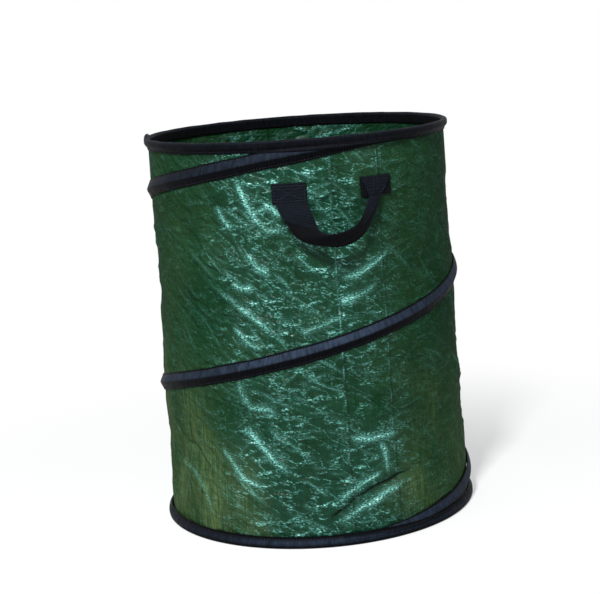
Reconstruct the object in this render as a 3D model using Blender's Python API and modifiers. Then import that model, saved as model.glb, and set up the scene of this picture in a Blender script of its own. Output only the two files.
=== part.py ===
"""Pop-up garden waste bag: an open woven-cloth cylinder held up by one sprung steel wire.

The wire makes a hoop at the base, winds up the outside of the cloth inside a sewn tape sleeve
and closes in a second hoop at the rim. Pressing the rim down folds the bag nearly flat. Two
webbing handles hang on opposite sides of the wall.

Metres, +Z up. The origin is the middle of the base, on the ground. The first handle faces -Y.
"""

import math

import bmesh
import bpy
from mathutils import Matrix, Vector

# Overall size, measured on the outside of the cloth
HEIGHT = 0.580
RIM_DIAMETER = 0.440
BASE_DIAMETER = 0.462

# Stock
CLOTH = 0.0008
TAPE = 0.0008
WIRE_DIAMETER = 0.0030
WEBBING_WIDTH = 0.048
WEBBING = 0.0016
CLEARANCE = 0.0003

# Hoop crimps
CRIMP_WALL = 0.0005
CRIMP_LENGTH = 0.018

# Edge tapes: how far each leg reaches from the folded edge, and the share of an outer leg's height
# over which it is drawn in to the cloth
RIM_TAPE_DEPTH = 0.017
BASE_TAPE_HEIGHT = 0.017
BASE_TAPE_UNDER = 0.014
DRAWN_IN_SHARE = 0.7

# Base cloth: the flat middle rises to its hem over this width
BASE_STEP = 0.012
BASE_HEM = 0.0045
BASE_CORNER = 0.002

# Wound sleeve, seen from above it climbs anticlockwise
SLEEVE_WIDTH = 0.025
SLEEVE_CROWN = 0.0030
SLEEVE_TUCK = 0.0090
COIL_START = math.radians(-95)
COIL_SWEEP = math.radians(756)
COIL_EASE_IN = math.radians(81)
COIL_EASE_OUT = math.radians(61)
COIL_SLOWING = 0.27
SLEEVE_TAPER = math.radians(48)

# Handles: distances along the cloth, and down from the rim
HANDLE_SPAN = 0.124
HANDLE_TOP = 0.060
SEWN_LENGTH = 0.028
LOOP_DROP = 0.050
LOOP_LEAN = 0.030
HINGE_GAP = 0.001
LOOP_TWIST = math.radians(64)
LOOP_STANDOFF = 0.004
LOOP_LIFT = 0.12
TWIST_LEFT = 0.36
TWIST_RIGHT = 0.22

# Facets round the bag, and sides of a wire and of a crimp
FACETS = 60
WIRE_SIDES = 6
CRIMP_SIDES = 12
LOOP_STEPS = 36
LEG_ROWS = 7
CLIMB_STEPS = 1500

# Sizes that follow from those above
STEP = 2 * math.pi / FACETS
WIRE_RADIUS = WIRE_DIAMETER / 2
CRIMP_RADIUS = WIRE_RADIUS + CLEARANCE + CRIMP_WALL
WIRE_OFFSET = CRIMP_RADIUS + CLEARANCE
RIM_FOLD = (2 * WIRE_OFFSET + CLOTH + CLEARANCE) / 2
RIM_WIRE_Z = HEIGHT - TAPE - RIM_FOLD
BASE_WIRE_Z = TAPE + WIRE_OFFSET
TAPE_REACH = TAPE + 2 * CLEARANCE
SLEEVE_LEAST = SLEEVE_CROWN / 2 + WIRE_RADIUS
COIL_TOP = RIM_WIRE_Z - CRIMP_RADIUS - TAPE_REACH - SLEEVE_LEAST
COIL_BOTTOM = BASE_WIRE_Z + CRIMP_RADIUS + TAPE_REACH + SLEEVE_LEAST
COIL_END = COIL_START + COIL_SWEEP
HINGE_Z = HEIGHT - HANDLE_TOP - SEWN_LENGTH
OVER_SLEEVE_STANDOFF = LOOP_STANDOFF + 2 * WIRE_OFFSET + TAPE


def cloth_radius(z):
    """Outside of the wall cloth at height z: the bag narrows a little towards the rim."""
    share = z / HEIGHT
    return (BASE_DIAMETER + (RIM_DIAMETER - BASE_DIAMETER) * share) / 2


def facet_radius(radius, angle):
    """Distance from the axis to a flat-sided ring whose corners lie at that radius."""
    half = STEP / 2
    return radius * math.cos(half) / math.cos(angle % STEP - half)


def facet_angles(start, end):
    """The two ends and every corner of the flat-sided wall between them."""
    first = math.floor(start / STEP + 1e-6) + 1
    last = math.ceil(end / STEP - 1e-6) - 1
    return [start, *(n * STEP for n in range(first, last + 1)), end]


def polar(radius, angle, z):
    """A point from its distance to the axis, its angle from +X and its height."""
    return Vector((radius * math.cos(angle), radius * math.sin(angle), z))


def smooth(share):
    """Goes from 0 to 1 with no kink at either end."""
    share = min(max(share, 0), 1)
    return share * share * (3 - 2 * share)


def climb_rate(turned):
    """How steeply the wire climbs: level in both hoops, and less steep in the upper turns."""
    entering = min(turned / COIL_EASE_IN, 1)
    leaving = min((COIL_SWEEP - turned) / COIL_EASE_OUT, 1)
    return entering * leaving * (1 - COIL_SLOWING * max(2 * turned / COIL_SWEEP - 1, 0))


def climb_shares():
    """Share of the whole climb at even steps along the coil."""
    rates = [climb_rate(COIL_SWEEP * n / CLIMB_STEPS) for n in range(CLIMB_STEPS + 1)]
    heights = [0.0]
    for before, after in zip(rates, rates[1:]):
        heights.append(heights[-1] + (before + after) / 2)
    return [height / heights[-1] for height in heights]


def coil_height(angle):
    """Height of the wound wire at an angle counted on from its start."""
    step = min(max((angle - COIL_START) / COIL_SWEEP, 0), 1) * CLIMB_STEPS
    low = min(int(step), CLIMB_STEPS - 1)
    share = CLIMB[low] + (CLIMB[low + 1] - CLIMB[low]) * (step - low)
    return COIL_BOTTOM + (COIL_TOP - COIL_BOTTOM) * share


def sleeve_reach(angle):
    """How far the sleeve reaches below and above its wire, narrowing where a hoop tape covers it."""
    z = coil_height(angle)
    full = SLEEVE_WIDTH / 2
    tucked = SLEEVE_TUCK / 2
    near_start = smooth((angle - COIL_START) / SLEEVE_TAPER)
    near_end = smooth((COIL_END - angle) / SLEEVE_TAPER)
    below = min(tucked + (full - tucked) * near_end, z - COIL_BOTTOM + SLEEVE_LEAST)
    above = min(tucked + (full - tucked) * near_start, COIL_TOP - z + SLEEVE_LEAST)
    return below, above


def sleeve_profile(angle):
    """Inside of the sleeve across its width, as (height from the wire, distance off the cloth)."""
    below, above = sleeve_reach(angle)
    crown = 2 * WIRE_OFFSET
    half = SLEEVE_CROWN / 2
    return [(-below, CLEARANCE), (-half, crown), (0, crown), (half, crown), (above, CLEARANCE)]


def over_sleeve(angle, z):
    """Distance off the cloth that clears the sleeve under a hoop tape, or 0 where there is none."""
    spread = TAPE_REACH + COIL_CLIMB + RIM_TAPE_DEPTH / LEG_ROWS
    best = 0
    first = COIL_START + (angle - COIL_START) % (2 * math.pi)
    turns = math.ceil(COIL_SWEEP / (2 * math.pi)) + 1
    for turn in range(-1, turns):
        passing = first + 2 * math.pi * turn
        if not COIL_START - STEP <= passing <= COIL_END + STEP:
            continue
        inside = min(max(passing, COIL_START), COIL_END)
        rise = z - coil_height(inside)
        reach = sleeve_reach(inside)[1 if rise > 0 else 0]
        beyond = max(abs(rise) - spread - SLEEVE_CROWN / 2, 0)
        slant = beyond / (reach - SLEEVE_CROWN / 2)
        if slant < 1:
            best = max(best, 2 * WIRE_OFFSET * (1 - slant) + TAPE_REACH)
    return best


CLIMB = climb_shares()

# The most that the sleeve climbs beside one facet while a hoop tape covers it
COIL_CLIMB = coil_height(COIL_START + SLEEVE_TAPER) - coil_height(COIL_START + SLEEVE_TAPER - STEP)


def clear_scene():
    for thing in list(bpy.data.objects):
        bpy.data.objects.remove(thing, do_unlink=True)


def collection(name):
    made = bpy.data.collections.new(name)
    bpy.context.scene.collection.children.link(made)
    return made


def material(name, colour, roughness, metallic=0.0):
    made = bpy.data.materials.new(name)
    made.use_nodes = True
    shader = made.node_tree.nodes["Principled BSDF"]
    shader.inputs["Base Color"].default_value = (*colour, 1)
    shader.inputs["Roughness"].default_value = roughness
    shader.inputs["Metallic"].default_value = metallic
    return made


def add(name, data, finish, parts):
    """A named object with its own finish, in the bag's collection."""
    made = bpy.data.objects.new(name, data)
    parts.objects.link(made)
    data.materials.append(finish)
    return made


def solidify(thing, thickness, side):
    """Gives an open surface its thickness: side 1 builds out along its normals, -1 inwards."""
    shell = thing.modifiers.new("thickness", "SOLIDIFY")
    shell.thickness = thickness
    shell.offset = side
    shell.use_even_offset = True
    shell.use_quality_normals = True


def shade(thing, degrees=35):
    thing.data.shade_smooth()
    thing.data.set_sharp_from_angle(angle=math.radians(degrees))


def surface(name, columns, rows, place, finish, parts, closed=False):
    """An open sheet: a grid whose corner (column, row) goes to place(column, row)."""
    mesh = bpy.data.meshes.new(name)
    grid = bmesh.new()
    bmesh.ops.create_grid(grid, x_segments=columns, y_segments=rows, size=1)
    for corner in grid.verts:
        column = round((corner.co.x + 1) / 2 * columns)
        row = round((corner.co.y + 1) / 2 * rows)
        corner.co = place(column, row)
    if closed:
        bmesh.ops.remove_doubles(grid, verts=grid.verts, dist=1e-6)
    grid.to_mesh(mesh)
    grid.free()
    return add(name, mesh, finish, parts)


def ring_surface(name, profile_at, finish, parts):
    """A closed ring of sheet whose section at each facet corner is profile_at(angle)."""
    sections = [profile_at(n * STEP) for n in range(FACETS)]

    def place(column, row):
        radius, z = sections[column % FACETS][row]
        return polar(radius, (column % FACETS) * STEP, z)

    return surface(name, FACETS, len(sections[0]) - 1, place, finish, parts, closed=True)


def turned_surface(name, profile, finish, parts):
    """An open profile of (radius, height) turned round the bag's axis."""
    mesh = bpy.data.meshes.new(name)
    points = [(radius, 0, z) for radius, z in profile]
    mesh.from_pydata(points, [(n, n + 1) for n in range(len(points) - 1)], [])
    made = add(name, mesh, finish, parts)
    screw = made.modifiers.new("turn", "SCREW")
    screw.steps = FACETS
    screw.render_steps = FACETS
    screw.use_merge_vertices = True
    screw.merge_threshold = 0.00001
    return made


def hoop(name, z, finish, parts):
    """A closed wire hoop that lies against the outside of the cloth."""
    bpy.ops.mesh.primitive_torus_add(
        major_segments=FACETS,
        minor_segments=WIRE_SIDES,
        major_radius=cloth_radius(z) + WIRE_OFFSET,
        minor_radius=WIRE_RADIUS,
        location=(0, 0, z),
    )
    made = bpy.context.object
    made.name = made.data.name = name
    for owner in list(made.users_collection):
        owner.objects.unlink(made)
    parts.objects.link(made)
    made.data.materials.append(finish)
    shade(made, 70)
    return made


def crimp(name, z, angle, finish, parts, cutters):
    """A crimp tube that joins a hoop's two ends, on the middle of one straight facet."""
    middle = (math.floor(angle / STEP) + 0.5) * STEP
    radius = facet_radius(cloth_radius(z) + WIRE_OFFSET, middle)
    along_hoop = Matrix.Rotation(middle, 4, "Z") @ Matrix.Rotation(math.pi / 2, 4, "X")
    placed = Matrix.Translation(polar(radius, middle, z)) @ along_hoop

    def cylinder(title, across, length):
        mesh = bpy.data.meshes.new(title)
        tube = bmesh.new()
        bmesh.ops.create_cone(
            tube,
            cap_ends=True,
            segments=CRIMP_SIDES,
            radius1=across,
            radius2=across,
            depth=length,
        )
        tube.to_mesh(mesh)
        tube.free()
        return mesh

    made = add(name, cylinder(name, CRIMP_RADIUS, CRIMP_LENGTH), finish, parts)
    made.matrix_world = placed
    bore = bpy.data.objects.new(name + "_bore", cylinder(name, WIRE_RADIUS + CLEARANCE, 2 * CRIMP_LENGTH))
    bore.matrix_world = placed
    bore.hide_render = True
    bore.display_type = "WIRE"
    cutters.objects.link(bore)
    cut = made.modifiers.new("bore", "BOOLEAN")
    cut.object = bore
    cut.operation = "DIFFERENCE"
    return made


def wall_panel(finish, parts):
    """The side cloth, from inside the base tape to under the wire at the rim."""
    bottom = TAPE + CLEARANCE
    made = turned_surface(
        "wall_panel",
        [(cloth_radius(z), z) for z in (RIM_WIRE_Z, bottom)],
        finish,
        parts,
    )
    solidify(made, CLOTH, -1)
    return made


def base_panel(finish, parts):
    """The bottom cloth: flat on the ground, stepped over the base tape, with an upturned hem."""
    edge = BASE_DIAMETER / 2
    lifted = TAPE + CLEARANCE
    inside = CLOTH + CLEARANCE
    step_end = edge - BASE_TAPE_UNDER - CLEARANCE - CLOTH
    profile = [
        (cloth_radius(BASE_HEM) - inside, BASE_HEM),
        (cloth_radius(lifted + BASE_CORNER) - inside, lifted + BASE_CORNER),
        (cloth_radius(lifted) - inside - BASE_CORNER, lifted),
        (step_end, lifted),
        (step_end - BASE_STEP, 0),
        (0, 0),
    ]
    made = turned_surface("base_panel", profile, finish, parts)
    solidify(made, CLOTH, -1)
    return made


def leg_heights(free_edge, fold):
    """Heights down a tape's outer leg, from the fold to its free edge."""
    return [fold + (free_edge - fold) * n / LEG_ROWS for n in range(LEG_ROWS + 1)]


def leg_radius(angle, z, free_edge, fold):
    """Inside of a tape's outer leg: past the wire, drawn in to the cloth at its free edge."""
    share = (z - free_edge) / (fold - free_edge)
    drawn_in = CLEARANCE + (2 * WIRE_OFFSET - CLEARANCE) * smooth(share / DRAWN_IN_SHARE)
    return cloth_radius(z) + max(drawn_in, over_sleeve(angle, z))


def rim_tape(finish, parts):
    """The rim binding: folded over the cloth's edge and the rim hoop."""
    free_edge = HEIGHT - RIM_TAPE_DEPTH
    middle = cloth_radius(RIM_WIRE_Z) + WIRE_OFFSET - (CLOTH + CLEARANCE) / 2
    inside = CLOTH + CLEARANCE

    def section(angle):
        inner = [(cloth_radius(z) - inside, z) for z in (free_edge, RIM_WIRE_Z)]
        fold = [
            (middle - RIM_FOLD * math.cos(turn), RIM_WIRE_Z + RIM_FOLD * math.sin(turn))
            for turn in (math.pi / 4, math.pi / 2, 3 * math.pi / 4)
        ]
        leg = [
            (leg_radius(angle, z, free_edge, RIM_WIRE_Z), z)
            for z in leg_heights(free_edge, RIM_WIRE_Z)
        ]
        return inner + fold + leg

    made = ring_surface("rim_tape", section, finish, parts)
    solidify(made, TAPE, -1)
    shade(made)
    return made


def base_tape(finish, parts):
    """The base binding: flat under the base cloth, round the base hoop and up the wall."""
    edge = BASE_DIAMETER / 2

    def section(angle):
        under = [(edge - BASE_TAPE_UNDER, TAPE), (edge + WIRE_OFFSET, TAPE)]
        corner = [
            (
                edge + WIRE_OFFSET + WIRE_OFFSET * math.sin(turn),
                TAPE + WIRE_OFFSET - WIRE_OFFSET * math.cos(turn),
            )
            for turn in (math.pi / 6, math.pi / 3)
        ]
        leg = [
            (leg_radius(angle, z, BASE_TAPE_HEIGHT, BASE_WIRE_Z), z)
            for z in leg_heights(BASE_TAPE_HEIGHT, BASE_WIRE_Z)
        ]
        return under + corner + leg

    made = ring_surface("base_tape", section, finish, parts)
    solidify(made, TAPE, 1)
    shade(made)
    return made


def coil_sleeve(finish, parts):
    """The tape channel that winds up the outside of the wall, open towards the cloth."""
    angles = facet_angles(COIL_START, COIL_END)
    profiles = [sleeve_profile(angle) for angle in angles]

    def place(column, row):
        rise, off = profiles[column][row]
        z = coil_height(angles[column]) + rise
        return polar(facet_radius(cloth_radius(z) + off, angles[column]), angles[column], z)

    made = surface("coil_sleeve", len(angles) - 1, len(profiles[0]) - 1, place, finish, parts)
    solidify(made, TAPE, 1)
    shade(made, 12)
    return made


def coil_spring(finish, parts):
    """The wound part of the spring wire, between the two hoops."""
    angles = facet_angles(COIL_START, COIL_END)
    curve = bpy.data.curves.new("coil_spring", "CURVE")
    curve.dimensions = "3D"
    curve.bevel_depth = WIRE_RADIUS
    curve.bevel_resolution = 1
    curve.use_fill_caps = True
    line = curve.splines.new("POLY")
    line.points.add(len(angles) - 1)
    for point, angle in zip(line.points, angles):
        z = coil_height(angle)
        radius = facet_radius(cloth_radius(z) + WIRE_OFFSET, angle)
        point.co = (*polar(radius, angle, z), 1)
    turn_gap = coil_height(COIL_START + COIL_SWEEP / 2 + math.pi) - coil_height(
        COIL_START + COIL_SWEEP / 2 - math.pi
    )
    print(f"coil_spring: least gap between turns {1000 * (turn_gap - WIRE_DIAMETER):.1f} mm")
    return add("coil_spring", curve, finish, parts)


def on_wall(facing, along, off, z):
    """A point from its distance along the cloth, off the cloth and above the ground."""
    return polar(cloth_radius(z) + off, facing + along / cloth_radius(HINGE_Z), z)


def sewn_end(name, facing, centre, finish, parts):
    """The end of a handle's webbing that is stitched flat to the wall."""
    across = 6

    def place(column, row):
        along = centre + WEBBING_WIDTH * (column / across - 0.5)
        return on_wall(facing, along, CLEARANCE, HINGE_Z + SEWN_LENGTH * row)

    made = surface(name, across, 1, place, finish, parts)
    solidify(made, WEBBING, 1)
    return made


def loop_line(share):
    """Middle of the hanging webbing as (along, height from the hinge), and its direction."""
    half = HANDLE_SPAN / 2
    inner = half - LOOP_LEAN
    back = 1 - share
    # Halfway along, the webbing hangs three quarters of the pull below the hinge
    pull = LOOP_DROP * 4 / 3
    along = half * (share**3 - back**3) + 3 * inner * back * share * (share - back)
    drop = -3 * pull * back * share
    over = half * (share**2 + back**2) + inner * (4 * back * share - share**2 - back**2)
    tangent = Vector((over, pull * (share - back))).normalized()
    upright = Vector((0, math.copysign(1, share - back)))
    heading = upright.lerp(tangent, smooth(share * back / LOOP_LIFT))
    return along, drop, heading.normalized()


def webbing_loop(name, facing, standoff, finish, parts):
    """The free webbing: flat on the wall at both ends, turned edge-on where a hand holds it."""
    across = 3

    def place(column, row):
        share = column / LOOP_STEPS
        along, drop, heading = loop_line(share)
        turn = LOOP_TWIST * smooth(share / TWIST_LEFT) * smooth((1 - share) / TWIST_RIGHT)
        width = WEBBING_WIDTH * (row / across - 0.5)
        flat = width * math.cos(turn)
        free = smooth(share * (1 - share) / LOOP_LIFT)
        off = CLEARANCE + WEBBING / 2 + standoff * free
        off += WEBBING_WIDTH / 2 * math.sin(turn) + width * math.sin(turn)
        along -= flat * heading.y
        z = HINGE_Z - HINGE_GAP + drop + flat * heading.x
        return on_wall(facing, along, off, z)

    made = surface(name, LOOP_STEPS, across, place, finish, parts)
    solidify(made, WEBBING, 0)
    shade(made, 50)
    return made


def hinge_distance():
    """How far from the axis a handle's hinge lies: just in front of both sewn ends."""
    inner_edge = (HANDLE_SPAN - WEBBING_WIDTH) / 2 / cloth_radius(HINGE_Z)
    return (cloth_radius(HINGE_Z) + CLEARANCE + WEBBING) * math.cos(inner_edge) + CLEARANCE


def pivot(name, location, children, parts):
    """An empty on a joint's axis that carries the pieces which move about it."""
    empty = bpy.data.objects.new(name, None)
    empty.location = location
    parts.objects.link(empty)
    bpy.context.view_layer.update()
    for child in children:
        child.parent = empty
        child.matrix_parent_inverse = empty.matrix_world.inverted()
    return empty


def handle(prefix, facing, standoff, finish, parts):
    """One handle: two sewn ends that ride on the wall, and the loop that swings from them."""
    half = HANDLE_SPAN / 2
    left = sewn_end(prefix + "_handle_sewn_end_left", facing, -half, finish, parts)
    right = sewn_end(prefix + "_handle_sewn_end_right", facing, half, finish, parts)
    loop = webbing_loop(prefix + "_handle_loop", facing, standoff, finish, parts)
    at = polar(hinge_distance(), facing, HINGE_Z)
    pivot(prefix + "_handle_hinge", at, [loop], parts)
    pivot(prefix + "_handle_carrier", at, [left, right], parts)
    print(f"{prefix} handle hinge at {tuple(round(x, 5) for x in at)}")


def main():
    clear_scene()
    parts = collection("garden_waste_bag")
    cutters = collection("cutters")

    cloth = material("woven_cloth", (0.012, 0.090, 0.052), 0.32)
    tape = material("binding_tape", (0.010, 0.010, 0.013), 0.55)
    webbing = material("webbing", (0.008, 0.008, 0.012), 0.75)
    steel = material("spring_steel", (0.42, 0.42, 0.44), 0.35, 1.0)
    crimped = material("crimp_metal", (0.62, 0.62, 0.64), 0.40, 1.0)

    wall_panel(cloth, parts)
    base_panel(cloth, parts)
    base_tape(tape, parts)
    hoop("base_hoop", BASE_WIRE_Z, steel, parts)
    crimp("base_hoop_crimp", BASE_WIRE_Z, COIL_START, crimped, parts, cutters)
    coil_spring(steel, parts)
    coil_sleeve(tape, parts)

    rim = [
        rim_tape(tape, parts),
        hoop("rim_hoop", RIM_WIRE_Z, steel, parts),
        crimp("rim_hoop_crimp", RIM_WIRE_Z, COIL_END, crimped, parts, cutters),
    ]
    pivot("rim_slide", (0, 0, HEIGHT), rim, parts)

    handle("front", -math.pi / 2, LOOP_STANDOFF, webbing, parts)
    handle("rear", math.pi / 2, OVER_SLEEVE_STANDOFF, webbing, parts)


main()
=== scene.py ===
import math

import bpy
import numpy as np
from mathutils import Matrix, Vector


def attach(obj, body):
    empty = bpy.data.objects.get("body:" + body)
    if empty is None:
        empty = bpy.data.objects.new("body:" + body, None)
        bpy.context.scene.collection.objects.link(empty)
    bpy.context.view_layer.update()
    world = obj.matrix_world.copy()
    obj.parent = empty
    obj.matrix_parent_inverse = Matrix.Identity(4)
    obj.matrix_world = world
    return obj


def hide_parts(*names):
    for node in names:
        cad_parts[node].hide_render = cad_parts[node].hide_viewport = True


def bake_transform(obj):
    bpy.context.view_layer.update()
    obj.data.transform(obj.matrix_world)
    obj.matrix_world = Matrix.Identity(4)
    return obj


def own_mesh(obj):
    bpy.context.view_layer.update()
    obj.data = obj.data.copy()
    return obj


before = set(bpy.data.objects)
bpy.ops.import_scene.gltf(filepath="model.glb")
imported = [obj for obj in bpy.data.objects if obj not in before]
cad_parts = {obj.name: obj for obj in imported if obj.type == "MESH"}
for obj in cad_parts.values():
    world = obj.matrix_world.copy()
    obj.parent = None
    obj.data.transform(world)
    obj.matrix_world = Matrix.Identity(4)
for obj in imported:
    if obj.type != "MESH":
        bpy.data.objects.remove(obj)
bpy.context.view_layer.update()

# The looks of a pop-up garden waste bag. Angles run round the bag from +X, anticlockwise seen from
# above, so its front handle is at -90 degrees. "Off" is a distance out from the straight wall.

# The photograph's camera, in metres and degrees; the shift is a share of the picture's width
CAMERA_DISTANCE = 2.35
CAMERA_HEIGHT = 0.762
CAMERA_AZIMUTH = 12.3
CAMERA_AIM = 0.29
CAMERA_ROLL = 4.0
CAMERA_LENS = 94.0
CAMERA_SHIFT = (-0.0138, 0.0313)

# Driving sizes of the bag, in metres
HEIGHT = 0.580
RIM_DIAMETER = 0.440
BASE_DIAMETER = 0.462
CLOTH = 0.0008
TAPE = 0.0008
WEBBING_WIDTH = 0.048
WEBBING = 0.0016
CLEARANCE = 0.0003
WIRE_RADIUS = 0.0015
CRIMP_RADIUS = 0.0023
RIM_TAPE_DEPTH = 0.017
BASE_TAPE_HEIGHT = 0.017
BASE_TAPE_UNDER = 0.014

# The wound sleeve: where it starts, how far it winds, and how its climb eases in and out
COIL_START = math.radians(-95)
COIL_SWEEP = math.radians(756)
COIL_EASE_IN = math.radians(81)
COIL_EASE_OUT = math.radians(61)
COIL_SLOWING = 0.27
SLEEVE_WIDTH = 0.025
SLEEVE_CROWN = 0.0030
SLEEVE_TUCK = 0.0090
SLEEVE_TAPER = math.radians(48)

# The handles
HANDLE_SPAN = 0.124
HANDLE_TOP = 0.060
SEWN_LENGTH = 0.028
FRONT = math.radians(-90)
REAR = math.radians(90)

# Sizes that follow from those above
WIRE_OFFSET = CRIMP_RADIUS + CLEARANCE
RIM_FOLD = (2 * WIRE_OFFSET + CLOTH + CLEARANCE) / 2
RIM_WIRE_Z = HEIGHT - TAPE - RIM_FOLD
BASE_WIRE_Z = TAPE + WIRE_OFFSET
SLEEVE_LEAST = SLEEVE_CROWN / 2 + WIRE_RADIUS
COIL_TOP = RIM_WIRE_Z - CRIMP_RADIUS - TAPE - 2 * CLEARANCE - SLEEVE_LEAST
COIL_BOTTOM = BASE_WIRE_Z + CRIMP_RADIUS + TAPE + 2 * CLEARANCE + SLEEVE_LEAST
COIL_END = COIL_START + COIL_SWEEP
HINGE_Z = HEIGHT - HANDLE_TOP - SEWN_LENGTH
MEAN_RADIUS = (RIM_DIAMETER + BASE_DIAMETER) / 4
GIRTH = math.tau * MEAN_RADIUS

# Folded: how far the rim and the handles come down, the share of its height that the wall keeps,
# and the height above which it has to be taut, to lie inside the rim tape
RIM_DROP = 0.45
HANDLE_DROP = 0.91 * RIM_DROP
COLLAPSE_KEEP = (RIM_WIRE_Z - RIM_DROP) / RIM_WIRE_Z
RIM_TAUT = (RIM_WIRE_Z - RIM_TAPE_DEPTH - RIM_DROP) / COLLAPSE_KEEP + 0.012


def mm(value):
    """Metres from millimetres."""
    return value / 1000


def smooth(share):
    """Goes from 0 to 1 with no kink at either end."""
    share = np.clip(share, 0, 1)
    return share * share * (3 - 2 * share)


def away_from(middle, angle):
    """How far an angle is from a middle, the shorter way round."""
    return (angle - middle + math.pi) % math.tau - math.pi


def unit(vectors):
    """Vectors of length 1 in the same directions."""
    return vectors / np.linalg.norm(vectors, axis=-1, keepdims=True)


def walked(points):
    """How far along a line of points each one lies."""
    return np.concatenate([[0], np.cumsum(np.linalg.norm(np.diff(points, axis=0), axis=1))])


def grid(columns, rows):
    """Two coordinates at each place of a grid."""
    return np.meshgrid(columns, rows, indexing="ij")


def cloth_radius(z):
    """Outside of the straight wall at height z."""
    return (BASE_DIAMETER + (RIM_DIAMETER - BASE_DIAMETER) * z / HEIGHT) / 2


def polar(radius, angle, z):
    """Points from their distance to the axis, angle and height."""
    return np.stack(np.broadcast_arrays(radius * np.cos(angle), radius * np.sin(angle), z), -1)


def on_wall(angle, z, off):
    """Points at a distance off the straight wall."""
    return polar(cloth_radius(z) + off, angle, z)


def coil_table(steps=3000):
    """Angles along the wound wire and its height at each."""
    turned = np.linspace(0, COIL_SWEEP, steps + 1)
    entering = np.clip(turned / COIL_EASE_IN, 0, 1)
    leaving = np.clip((COIL_SWEEP - turned) / COIL_EASE_OUT, 0, 1)
    slowing = 1 - COIL_SLOWING * np.clip(2 * turned / COIL_SWEEP - 1, 0, None)
    rate = entering * leaving * slowing
    share = np.concatenate([[0], np.cumsum((rate[1:] + rate[:-1]) / 2)])
    return COIL_START + turned, COIL_BOTTOM + (COIL_TOP - COIL_BOTTOM) * share / share[-1]


COIL_ANGLES, COIL_HEIGHTS = coil_table()


def coil_height(angle):
    return np.interp(angle, COIL_ANGLES, COIL_HEIGHTS)


def coil_passes(angle):
    """For each time the wire passes an angle: how far it has wound there, and whether it does."""
    first = COIL_START + (angle - COIL_START) % math.tau
    for turn in range(math.ceil(COIL_SWEEP / math.tau) + 1):
        wound = first + math.tau * turn
        yield wound, wound <= COIL_END


def sleeve_reach(wound):
    """How far the sleeve reaches below and above its wire, narrower under a hoop tape."""
    z = coil_height(wound)
    full = SLEEVE_WIDTH / 2
    tucked = SLEEVE_TUCK / 2
    near_start = smooth((wound - COIL_START) / SLEEVE_TAPER)
    near_end = smooth((COIL_END - wound) / SLEEVE_TAPER)
    below = np.minimum(tucked + (full - tucked) * near_end, z - COIL_BOTTOM + SLEEVE_LEAST)
    above = np.minimum(tucked + (full - tucked) * near_start, COIL_TOP - z + SLEEVE_LEAST)
    return below, above


def tent_off(rise, below, above):
    """How far the sleeve stands off the cloth at a height above its wire."""
    reach = np.where(rise > 0, above, below)
    half = SLEEVE_CROWN / 2
    share = 1 - np.clip(np.abs(rise) - half, 0, None) / (reach - half)
    return (2 * WIRE_OFFSET + TAPE) * np.clip(share, 0, 1)


def under_tape(angle, z):
    """How far the sleeve stands out at a place on the wall, 0 where there is none."""
    most = np.zeros(np.broadcast(angle, z).shape)
    for wound, present in coil_passes(angle):
        rise = z - coil_height(wound)
        off = tent_off(rise, *sleeve_reach(wound))
        most = np.maximum(most, np.where(present, off, 0))
    return most


NOISE_ROWS = 400


def ripple(seed, u, v, size_u, size_v):
    """Smooth random values from -1 to 1, with lumps of the given size, joined up round the bag."""
    columns = max(int(round(GIRTH / size_u)), 3)
    table = np.random.default_rng(seed).uniform(-1, 1, (columns, NOISE_ROWS))
    column = u / GIRTH * columns
    row = v / size_v + NOISE_ROWS // 4
    c0, r0 = np.floor(column).astype(int), np.floor(row).astype(int)
    fc, fr = smooth(column - c0), smooth(row - r0)
    c1, r1 = (c0 + 1) % columns, (r0 + 1) % NOISE_ROWS
    c0, r0 = c0 % columns, r0 % NOISE_ROWS
    low = table[c0, r0] * (1 - fc) + table[c1, r0] * fc
    high = table[c0, r1] * (1 - fc) + table[c1, r1] * fc
    return low * (1 - fr) + high * fr


def lumpy(seed, u, v, size_u, size_v):
    """The same from 0 to 1."""
    return 0.5 + 0.5 * ripple(seed, u, v, size_u, size_v)


def link(name, data):
    """An object in the scene."""
    made = bpy.data.objects.new(name, data)
    bpy.context.scene.collection.objects.link(made)
    return made


def mesh_object(name, points, faces):
    """An object in the scene from an array of points and one of faces."""
    mesh = bpy.data.meshes.new(name)
    mesh.from_pydata(points.reshape(-1, 3).tolist(), [], faces.tolist())
    mesh.shade_smooth()
    return link(name, mesh)


def grid_object(name, points, flat, closed=False):
    """A mesh object from a grid of points (columns, rows, xyz), with flat metres as its UV map."""
    index = np.arange(points[..., 0].size).reshape(points.shape[:2])
    after = np.roll(index, -1, axis=0)
    if closed:
        width = flat[-1, :, 0] + (flat[1, :, 0] - flat[0, :, 0])
        flat = np.concatenate([flat, np.stack([width, flat[0, :, 1]], -1)[None]], 0)
    else:
        index, after = index[:-1], after[:-1]
    faces = np.stack([index[:, :-1], after[:, :-1], after[:, 1:], index[:, 1:]], -1).reshape(-1, 4)
    corners = np.stack([flat[:-1, :-1], flat[1:, :-1], flat[1:, 1:], flat[:-1, 1:]], -2)
    made = mesh_object(name, points, faces)
    layer = made.data.uv_layers.new(name="flat")
    layer.data.foreach_set("uv", corners.reshape(-1).astype(np.float32))
    made.data.validate()
    return made


def store(obj, **values):
    """Stores values for each point, for a material to read."""
    for name, numbers in values.items():
        layer = obj.data.attributes.new(name, "FLOAT", "POINT")
        layer.data.foreach_set("value", numbers.reshape(-1).astype(np.float32))


def thicken(obj, finish, thickness, side):
    """Gives a surface its material and thickness: side 1 outwards, -1 inwards, 0 both ways."""
    obj.data.materials.append(finish)
    modifier = obj.modifiers.new("Thickness", "SOLIDIFY")
    modifier.thickness = thickness
    modifier.offset = side
    modifier.use_even_offset = True
    modifier.use_quality_normals = True


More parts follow.
